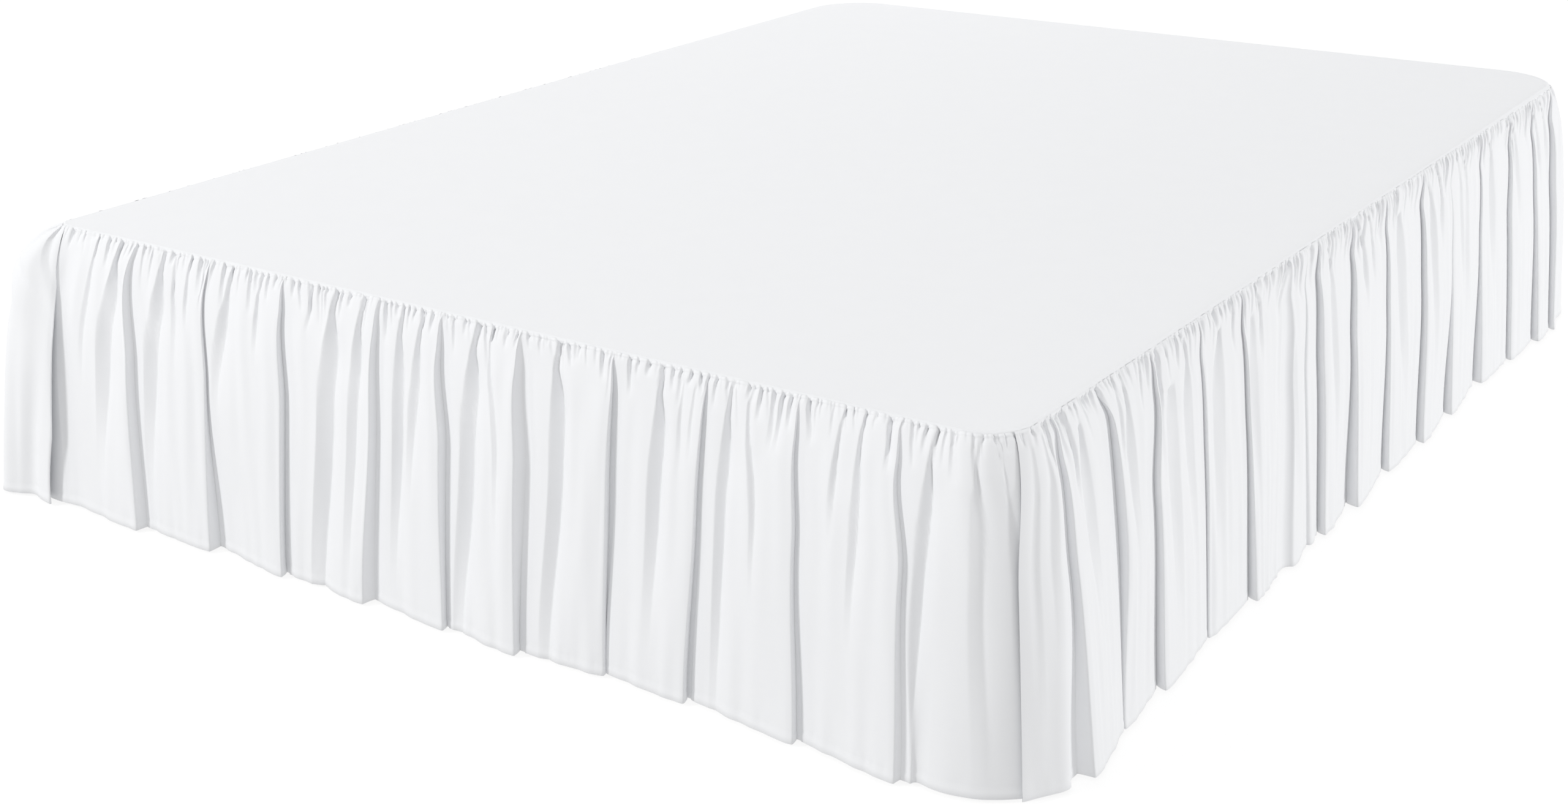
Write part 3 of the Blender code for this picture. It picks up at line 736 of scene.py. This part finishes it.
def wall_and_rise(across, tail):
    """A crease's section: 0 at its crest, 1 at its bottom one width on, then a slow rise."""
    wall = np.clip(across, 0.0, 1.0)
    return np.where(across < 1.0, wall, np.exp(-np.clip(across - 1.0, 0.0, None) / tail))


def lean_over(across):
    """How the cloth before and on a crease's wall is pushed over it: 1 at the crest."""
    return np.where(across < 0.0, np.exp(-(across / 1.3) ** 2),
                    np.clip(1.0 - across, 0.0, 1.0) ** 1.3)


def crease_relief(along, creases, walk, drop):
    """How deep the listed creases are at these places along the edge, for each row, and
    how far they push the cloth along. They start narrow and shallow and fade out slowly."""
    relief = np.zeros_like(along)
    push = np.zeros_like(along)
    for row in creases:
        crease = dict(zip(CREASE, row))
        crest = standing(crease, drop)
        width = np.maximum(crease["width"] * smoothstep(drop / 0.25), CREASE_NARROWEST)
        across = (along - crest[:, None]) * walk / width[:, None]
        ends = crease["ends"]
        fade = (smoothstep((drop - crease["starts"] + 0.004) / 0.012)
                * (1.0 - smoothstep((drop - 0.40 * ends) / (0.60 * ends))))
        narrow = 0.40 + 0.60 * smoothstep(drop / 0.20)
        relief += crease["depth"] * (fade * narrow)[:, None] * wall_and_rise(across, 1.1)
        upper = 1.0 - smoothstep(drop / 0.18)
        push += (GATHER_PUSH * width * fade * (0.15 + 0.85 * upper))[:, None] * lean_over(across)
    return relief, push * walk


def gather_relief(places, walk, drop, height, seed):
    """The same for the gathers, at these places of the seam. Most are shallow and short."""
    random = np.random.default_rng(seed)
    low = float(places.min())
    high = float(places.max())
    metres = drop * height
    relief = np.zeros((len(drop), len(places)))
    push = np.zeros_like(relief)
    for row in GATHERS:
        sort = dict(zip(GATHER, row))
        count = int(GATHER_SPARE * (high - low) / sort["pitch"])
        steps = random.gamma(GATHER_EVENNESS, sort["pitch"] / GATHER_EVENNESS, count)
        crests = low + np.cumsum(steps)
        depths = 0.25 + 0.75 * random.uniform(0.0, 1.0, count) ** 1.5
        spread = (sort["longest"] - sort["shortest"]) * random.uniform(0.0, 1.0, count) ** 1.6
        lengths = sort["shortest"] + spread
        leans = random.normal(0.0, GATHER_LEAN, count)
        for crest, depth, length, lean in zip(crests, depths, lengths, leans):
            near = np.abs(places - crest) < GATHER_FELT
            if not near.any():
                continue
            width = sort["wall"] * (0.5 + 0.6 * depth) + GATHER_SPREAD * metres
            across = (places[None, near] - crest) * walk - lean * metres[:, None]
            across /= width[:, None]
            fade = ((0.6 + 0.4 * smoothstep(metres / 0.003))
                    * np.clip(1.0 - metres / length, 0.0, 1.0) ** 0.7)
            relief[:, near] += ((sort["depth"] * depth * fade)[:, None]
                                * wall_and_rise(across, 0.8))
            push[:, near] += (GATHER_PUSH * width * fade)[:, None] * lean_over(across)
    return relief, push * walk


def face_drift(cloth, drop, seed):
    """Soft unevenness down the faces, and the puckers of the hem's stitching."""
    random = np.random.default_rng(seed)
    total = np.zeros((len(drop), len(cloth)))
    for wave in random.uniform(*DRIFT_LENGTHS, DRIFT_WAVES):
        phase = random.uniform(0.0, 2 * math.pi)
        lean = random.normal(0.0, 1.6)
        swell = np.sin(drop * random.uniform(2.0, 7.0) + phase)
        total += (np.sin(2 * math.pi * cloth[None, :] / wave + phase + lean * drop[:, None])
                  * swell[:, None])
    total *= DRIFT * smoothstep(drop / 0.2)[:, None]
    hem_rows = np.exp(-((drop - HEM_PUCKER_PLACE) / 0.020) ** 2)
    for place in np.arange(0.0, cloth[-1], HEM_PUCKER_STEP):
        centre = place + random.uniform(-0.005, 0.005)
        near = np.abs(cloth - centre) < 0.014
        depth = HEM_PUCKER * random.uniform(0.1, 1.0)
        across = (cloth[near] - centre) / HEM_PUCKER_WIDTH
        total[:, near] -= (depth * hem_rows)[:, None] * np.exp(-across ** 2)
    return total


def ruffle(name, node, edge, start, folds, end, walk, fold_flare, creases, seed, finish):
    """A gathered strip, from its seam down to its turned hem."""
    height = DECK_HEIGHT - RIM_RADIUS + SEAM_OVERLAP - HEM_HEIGHT
    drop = drop_rows(height)
    section, openness = strip_section(start, folds, end, walk, drop, fold_flare)
    along = section[..., 0]
    out = section[..., 1]
    closed_share = smoothstep(drop / TURNS_CLEAR)[:, None]
    free = 1.0 - closed_share * (1.0 - openness[None, :])

    metres = (drop * height)[:, None]
    step = np.hypot(np.diff(along, axis=1), np.diff(out, axis=1))
    cloth = np.concatenate([[0.0], np.cumsum(step[len(drop) // 2])])
    relief = face_drift(cloth, drop, seed + DRIFT_SEED)
    crease_depth, crease_push = crease_relief(along, creases, walk, drop)
    gather_depth, gather_push = gather_relief(along[0], walk, drop, height, seed)
    relief -= crease_depth + gather_depth
    along = along + (crease_push + gather_push) * free
    pop = SHOULDER_POP * (1.0 - np.exp(-metres / POP_DROP)) * np.exp(-metres / POP_FADES)
    out = out + pop
    slope = np.gradient(out, metres[:, 0], axis=0)
    steepness = np.sqrt(1.0 + slope ** 2)
    out = out + relief * free / steepness

    spots = edge.place(along, out)
    radius = rim_radius(spots)
    seam = DECK_HEIGHT - radius + SEAM_OVERLAP
    z = seam + (HEM_HEIGHT - seam) * drop[:, None] + relief * free * slope / steepness

    # the rolled seam at the top, the hem's stitching and its turned edge, along the cloth's face
    handed = walk * (edge.direction[1] * edge.outward[0] - edge.direction[0] * edge.outward[1])
    run_x = np.gradient(spots[..., 0], axis=1)
    run_y = np.gradient(spots[..., 1], axis=1)
    length = np.maximum(np.hypot(run_x, run_y), 1e-9)
    outward = np.stack([handed * run_y / length, -handed * run_x / length], axis=-1)
    roll = SEAM_ROLL * np.exp(-((metres - SEAM_ROLL_PLACE) / SEAM_ROLL_WIDTH) ** 2)
    from_hem = height - metres
    stitched = HEM_THICKNESS * smoothstep((HEM_DEPTH - from_hem) / 0.003)
    groove = -STITCH_DEPTH * np.exp(-((from_hem - HEM_DEPTH) / STITCH_WIDTH) ** 2)
    spots = spots + outward * (roll + stitched + groove)[..., None]

    points = np.concatenate([spots, z[..., None]], axis=-1)
    places = np.stack([np.broadcast_to(cloth, z.shape),
                       np.broadcast_to(metres, z.shape)], axis=-1)
    last = points[-1]
    last_out = np.concatenate([outward[-1], np.zeros((len(cloth), 1))], axis=1)
    down = np.array([0.0, 0.0, -1.0])
    turned = [last - HEM_TURN * 0.45 * last_out + 0.35 * HEM_TURN * down,
              last - HEM_TURN * last_out,
              last - HEM_TURN * last_out - HEM_INSIDE * down]
    turned_places = [places[-1] + (0.0, turned_by) for turned_by in (0.0007, 0.0014, 0.0070)]
    points = np.concatenate([points, turned])
    places = np.concatenate([places, turned_places])

    piece = woven_sheet(name, points, places, flip=handed < 0)
    piece.data.materials.append(finish)
    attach(piece, "root")
    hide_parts(node)


ruffle_cotton = cotton_finish("ruffle_cotton", RUFFLE_CRUMPLE)
ruffle("foot_ruffle", "ruffle_foot", FOOT_EDGE, FOOT_START, FOOT_FOLDS, FOOT_END, walk=1,
       fold_flare=FOOT_FLARE, creases=FOOT_CREASES, seed=11, finish=ruffle_cotton)
ruffle("right_ruffle", "ruffle_right", RIGHT_EDGE, HEAD_END, SIDE_FOLDS, NEAR_CORNER_END, walk=-1,
       fold_flare=SIDE_FLARE, creases=SIDE_CREASES, seed=12, finish=ruffle_cotton)
ruffle("left_ruffle", "ruffle_left", LEFT_EDGE, HEAD_END, SIDE_FOLDS[:-1], LEFT_CORNER_END,
       walk=-1, fold_flare=SIDE_FLARE, creases=SIDE_CREASES[:-2] + LEFT_CORNER_CREASES, seed=13,
       finish=ruffle_cotton)


# ---- Bed base ---------------------------------------------------------------------------------
# A plain upholstered block under the skirt: a timber box covered in cream cotton ticking with
# narrow woven stripes, stapled on under its bottom edge. It only shows from the open head.
CREAM = (0.78, 0.77, 0.74, 1.0)
STRIPE_COLOUR = (0.70, 0.69, 0.65, 1.0)
STRIPE_STEP = 0.024
TICKING_RELIEF = 0.0003

ticking = Finish("base_ticking")
where = ticking.node("ShaderNodeTexCoord", {}, {}, output="Object")
across_x = ticking.node("ShaderNodeSeparateXYZ", {}, {0: where})
across_y = Reading(ticking, across_x.socket.node.outputs[1])
stripe = ((across_x + across_y) * (2 * math.pi / STRIPE_STEP)).sine()
grain = ticking.node("ShaderNodeTexNoise", {}, {"Vector": where, "Scale": 700.0, "Detail": 2.0})
tone = ticking.node("ShaderNodeValToRGB", {"stops": ((0.80, CREAM), (0.86, STRIPE_COLOUR))},
                    {0: stripe})
weave_bump = ticking.node("ShaderNodeBump", {},
                          {"Strength": 0.5, "Distance": 1.0, "Height": grain * TICKING_RELIEF})
ticking.fill(ticking.shader, {"Base Color": tone, "Roughness": 0.86 + grain * 0.08,
                              "Normal": weave_bump, "Specular IOR Level": 0.2})
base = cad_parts["bed_base"]
base.data.materials.clear()
base.data.materials.append(ticking.material)


# ---- Legs -------------------------------------------------------------------------------------
# Six round blocks of stained beech, turned on a lathe and screwed up into the base. The stain
# sits darker in the grain, and its satin varnish has a faint gloss.
DARK_GRAIN = (0.060, 0.040, 0.028, 1.0)
LIGHT_GRAIN = (0.13, 0.09, 0.062, 1.0)
GRAIN_RELIEF = 0.0004
LEGS = 6

stain = Finish("leg_wood")
where = stain.node("ShaderNodeTexCoord", {}, {}, output="Object")
stretched = stain.node("ShaderNodeMapping", {}, {"Vector": where, "Scale": (1.0, 1.0, 0.12)})
grain = stain.node("ShaderNodeTexNoise", {},
                   {"Vector": stretched, "Scale": 160.0, "Detail": 4.0, "Roughness": 0.6})
tone = stain.node("ShaderNodeValToRGB", {"stops": ((0.35, DARK_GRAIN), (0.65, LIGHT_GRAIN))},
                  {0: grain})
grain_bump = stain.node("ShaderNodeBump", {},
                        {"Strength": 0.4, "Distance": 1.0, "Height": grain * GRAIN_RELIEF})
stain.fill(stain.shader, {"Base Color": tone, "Roughness": 0.42 + grain * 0.15,
                          "Normal": grain_bump})
for number in range(1, LEGS + 1):
    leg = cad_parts[f"leg_{number}"]
    leg.data.materials.clear()
    leg.data.materials.append(stain.material)
